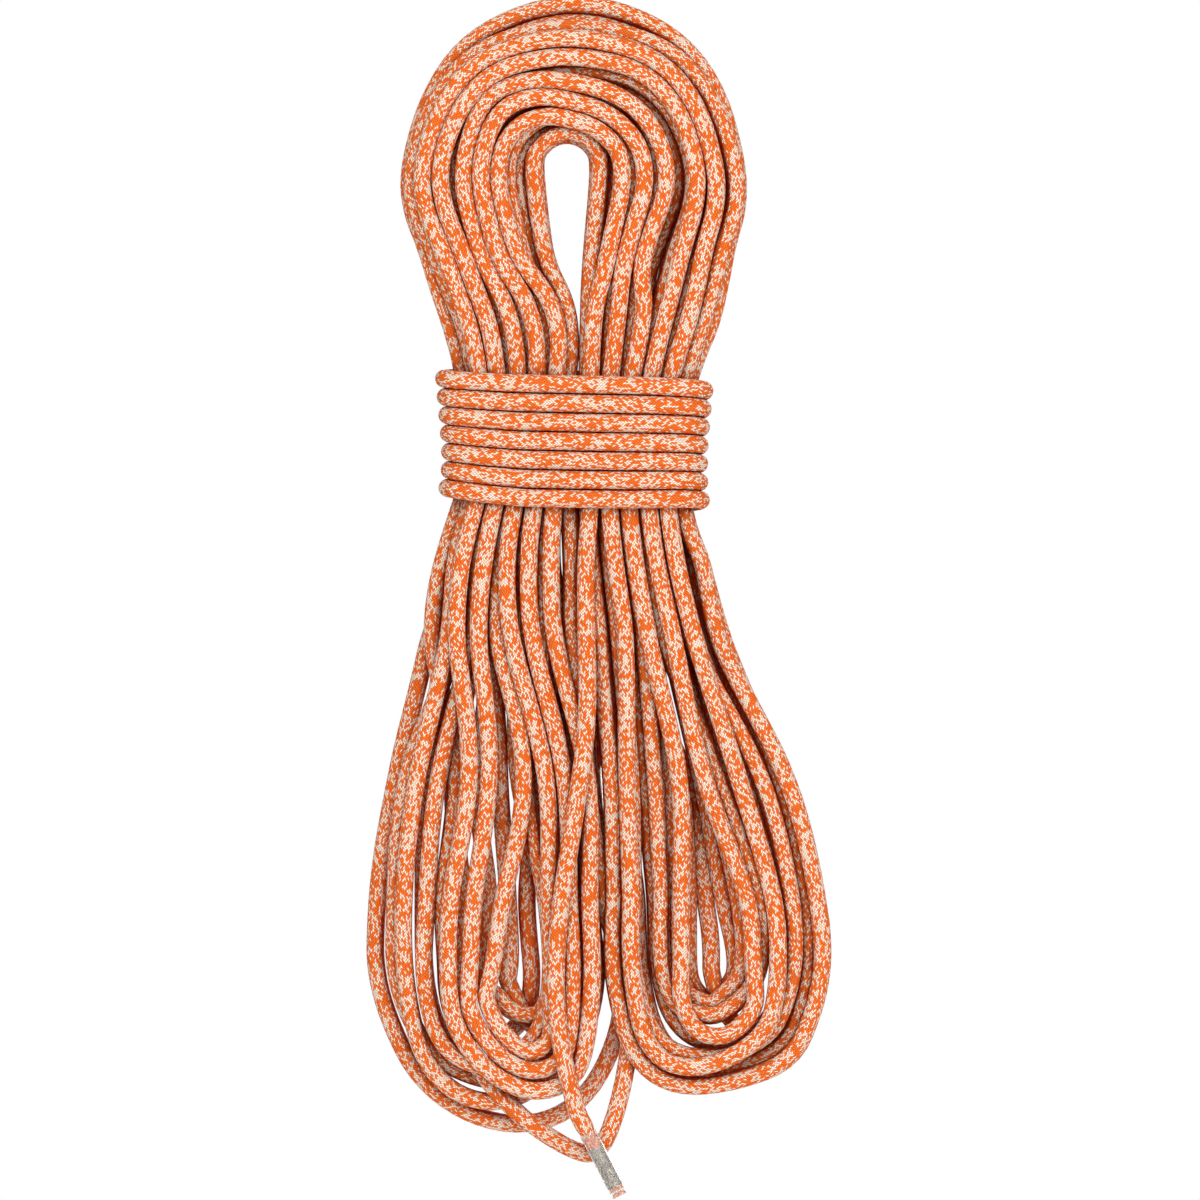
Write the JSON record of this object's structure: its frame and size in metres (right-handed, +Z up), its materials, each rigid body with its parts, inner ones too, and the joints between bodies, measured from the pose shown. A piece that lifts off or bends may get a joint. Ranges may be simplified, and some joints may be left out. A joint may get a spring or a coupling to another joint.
{
  "type": "dynamic climbing rope",
  "caption": "Orange and white kernmantle climbing rope in a mountaineer's coil: a long hank hung by the eye at its top, wrapped round its waist, with both ends free.",
  "frame": {"origin": "inside top of the eye at the top of the coil, where it hangs on a peg or hook", "axes": "+Z up along the hanging coil, +X to the right as seen from the front, +Y to the back"},
  "size_m": [0.2219, 0.069, 0.5971],
  "materials": {
    "braided_sheath": "woven polyamide sheath of orange and off-white yarns, matt with a soft sheen",
    "core_yarn": "bundle of twisted white polyamide yarns, matt",
    "clear_sleeve": "clear heat-shrunk plastic, glossy and slightly hazy",
    "label_foil": "bare silver-grey label film, satin",
    "fused_nylon": "rope end cut hot, yarns fused to a hard pinkish cap"
  },
  "bodies": {
    "root": {"hank_sheath": "braided_sheath", "hank_core": "core_yarn", "waist_wrap_sheath": "braided_sheath", "waist_wrap_core": "core_yarn", "front_tail_sheath": "braided_sheath", "front_tail_core": "core_yarn", "back_tail_sheath": "braided_sheath", "back_tail_core": "core_yarn", "front_end_sleeve": "clear_sleeve", "back_end_sleeve": "clear_sleeve", "front_label_band": "label_foil", "back_label_band": "label_foil", "front_fused_tip": "fused_nylon", "back_fused_tip": "fused_nylon"}
  },
  "joints": []
}
